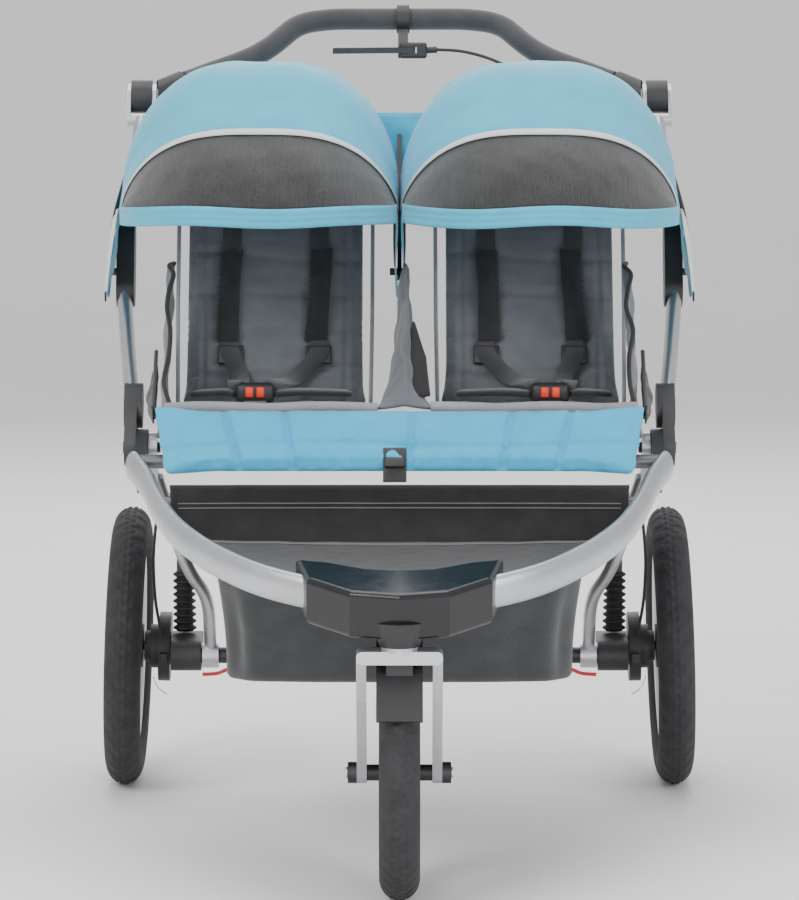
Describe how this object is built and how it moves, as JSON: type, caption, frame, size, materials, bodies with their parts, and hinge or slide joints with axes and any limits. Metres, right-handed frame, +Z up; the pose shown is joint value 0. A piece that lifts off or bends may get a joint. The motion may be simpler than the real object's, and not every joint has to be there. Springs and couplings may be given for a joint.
{
  "type": "jogging stroller",
  "caption": "Double side-by-side jogging stroller with folding tube frame, swivel front wheel, sprung rear wheels, two hoods, padded seats and a basket.",
  "frame": {"origin": "on the floor under the middle of the whole object's box", "axes": "-Y points to the front wheel, +X to the right of someone who faces the front, +Z up"},
  "size_m": [0.8032, 1.125, 1.063],
  "materials": {
    "alloy": "satin anodised tube",
    "dark_tube": "dark painted tube",
    "gloss_black": "glossy moulded",
    "black_plastic": "satin moulded",
    "grey_plastic": "grained moulded",
    "tyre": "moulded tread",
    "boot_rubber": "ribbed",
    "foam": "fine foam",
    "blue_fabric": "plain weave",
    "visor_mesh": "open mesh",
    "grey_fabric": "padded liner",
    "black_fabric": "coated weave",
    "webbing": "woven strap",
    "button_red": "moulded",
    "cable_black": "cable housing",
    "rod_red": "coated rod"
  },
  "bodies": {
    "front_frame": {"front_hoop": "alloy", "nose_casting": "gloss_black", "steering_head": "black_plastic", "hinge_lugs": "black_plastic", "cross_tubes": "alloy", "foot_platform": "black_fabric", "calf_panel": "black_fabric", "leg_pad": "blue_fabric", "basket": "black_fabric", "seat_divider": "grey_fabric", "side_panels": "grey_fabric", "side_pockets": "visor_mesh", "buckles": "black_plastic", "waist_straps": "webbing", "seat_cushion_left": "grey_fabric", "seat_cushion_right": "grey_fabric"},
    "upper_frame": {"side_tube_left": "alloy", "side_tube_right": "alloy", "hinge_covers": "grey_plastic", "hood_brackets": "black_plastic", "back_cross_bar": "dark_tube", "seat_back_left": "grey_fabric", "seat_back_right": "grey_fabric", "shoulder_straps": "webbing", "hood_rear_left": "blue_fabric", "hood_rear_right": "blue_fabric"},
    "handlebar": {"handlebar_tube": "dark_tube", "handlebar_elbows": "black_plastic", "handlebar_grip": "foam", "lever_clamp": "black_plastic", "brake_cable": "cable_black"},
    "lever": {"brake_lever": "black_plastic"},
    "rear_frame": {"axle_beam": "dark_tube", "shock_necks": "dark_tube", "strut_left": "alloy", "strut_right": "alloy", "shock_boot_left": "boot_rubber", "shock_boot_right": "boot_rubber", "drum_cable_left": "cable_black", "drum_cable_right": "cable_black"},
    "parking_brake": {"brake_rod": "rod_red"},
    "fork_set": {"fork": "alloy", "front_axle": "dark_tube", "front_fender": "black_plastic"},
    "front_wheel_set": {"front_tyre": "tyre", "front_wheel": "black_plastic"},
    "hood_mid_left": {"hood_mid_left": "blue_fabric"},
    "hood_visor_left": {"hood_visor_left": "visor_mesh"},
    "arm_left": {"axle_block_left": "black_plastic", "brake_drum_left": "black_plastic"},
    "rear_wheel_set_left": {"rear_tyre_left": "tyre", "rear_wheel_left": "black_plastic"},
    "buckle_button_left": {"buckle_button_left": "button_red"},
    "hood_mid_right": {"hood_mid_right": "blue_fabric"},
    "hood_visor_right": {"hood_visor_right": "visor_mesh"},
    "arm_right": {"axle_block_right": "black_plastic", "brake_drum_right": "black_plastic"},
    "rear_wheel_set_right": {"rear_tyre_right": "tyre", "rear_wheel_right": "black_plastic"},
    "buckle_button_right": {"buckle_button_right": "button_red"}
  },
  "joints": [
    {"name": "upper_fold", "type": "hinge", "parent": "front_frame", "child": "upper_frame", "pos_m": [0, 0.06, 0.5], "axis": [1, 0, 0], "range_deg": [0, 55]},
    {"name": "rear_fold", "type": "hinge", "parent": "front_frame", "child": "rear_frame", "pos_m": [0, 0.06, 0.5], "axis": [1, 0, 0], "range_deg": [-55, 0]},
    {"name": "handlebar_tilt", "type": "hinge", "parent": "upper_frame", "child": "handlebar", "pos_m": [0, 0.42, 0.94], "axis": [1, 0, 0], "range_deg": [-45, 45]},
    {"name": "brake_squeeze", "type": "hinge", "parent": "handlebar", "child": "lever", "pos_m": [0.016, 0.503, 1.001], "axis": [0, 0, -1], "range_deg": [0, 14], "stiffness_Nm_per_rad": 1.5, "springref_deg": -5.73},
    {"name": "parking_brake_turn", "type": "hinge", "parent": "rear_frame", "child": "parking_brake", "pos_m": [0, 0.266, 0.175], "axis": [1, 0, 0], "range_deg": [0, 20]},
    {"name": "fork_swivel", "type": "hinge", "parent": "front_frame", "child": "fork_set", "pos_m": [0, -0.49, 0.322], "axis": [0, 0, 1], "continuous": true},
    {"name": "front_wheel_spin", "type": "hinge", "parent": "fork_set", "child": "front_wheel_set", "pos_m": [0, -0.405, 0.155], "axis": [1, 0, 0], "continuous": true},
    {"name": "hood_mid_left", "type": "hinge", "parent": "upper_frame", "child": "hood_mid_left", "pos_m": [-0.184, 0.245, 0.715], "axis": [1, 0, 0], "range_deg": [-30, 0]},
    {"name": "hood_visor_left", "type": "hinge", "parent": "hood_mid_left", "child": "hood_visor_left", "pos_m": [-0.184, 0.245, 0.715], "axis": [1, 0, 0], "range_deg": [-21, 0]},
    {"name": "suspension_left", "type": "hinge", "parent": "rear_frame", "child": "arm_left", "pos_m": [-0.29, 0.3, 0.187], "axis": [1, 0, 0], "range_deg": [0, 10], "stiffness_Nm_per_rad": 60, "springref_deg": -11.46, "deforming": ["shock_boot_left", "drum_cable_left"]},
    {"name": "wheel_spin_left", "type": "hinge", "parent": "arm_left", "child": "rear_wheel_set_left", "pos_m": [-0.372, 0.37, 0.18992], "axis": [0.9995, 0, -0.0314], "continuous": true},
    {"name": "buckle_press_left", "type": "slide", "parent": "front_frame", "child": "buckle_button_left", "axis": [0, 1, 0], "range_m": [0, 0.003], "stiffness_N_per_m": 400, "springref_m": -0.001},
    {"name": "hood_mid_right", "type": "hinge", "parent": "upper_frame", "child": "hood_mid_right", "pos_m": [0.184, 0.245, 0.715], "axis": [1, 0, 0], "range_deg": [-30, 0]},
    {"name": "hood_visor_right", "type": "hinge", "parent": "hood_mid_right", "child": "hood_visor_right", "pos_m": [0.184, 0.245, 0.715], "axis": [1, 0, 0], "range_deg": [-21, 0]},
    {"name": "suspension_right", "type": "hinge", "parent": "rear_frame", "child": "arm_right", "pos_m": [0.29, 0.3, 0.187], "axis": [1, 0, 0], "range_deg": [0, 10], "stiffness_Nm_per_rad": 60, "springref_deg": -11.46, "deforming": ["shock_boot_right", "drum_cable_right"]},
    {"name": "wheel_spin_right", "type": "hinge", "parent": "arm_right", "child": "rear_wheel_set_right", "pos_m": [0.372, 0.37, 0.18992], "axis": [0.9995, 0, 0.0314], "continuous": true},
    {"name": "buckle_press_right", "type": "slide", "parent": "front_frame", "child": "buckle_button_right", "axis": [0, 1, 0], "range_m": [0, 0.003], "stiffness_N_per_m": 400, "springref_m": -0.001}
  ],
  "couplings": [
    {"joint": "rear_fold", "follows": "upper_fold", "ratio": -1},
    {"joint": "hood_visor_left", "follows": "hood_mid_left", "ratio": 0.7},
    {"joint": "hood_visor_right", "follows": "hood_mid_right", "ratio": 0.7}
  ]
}
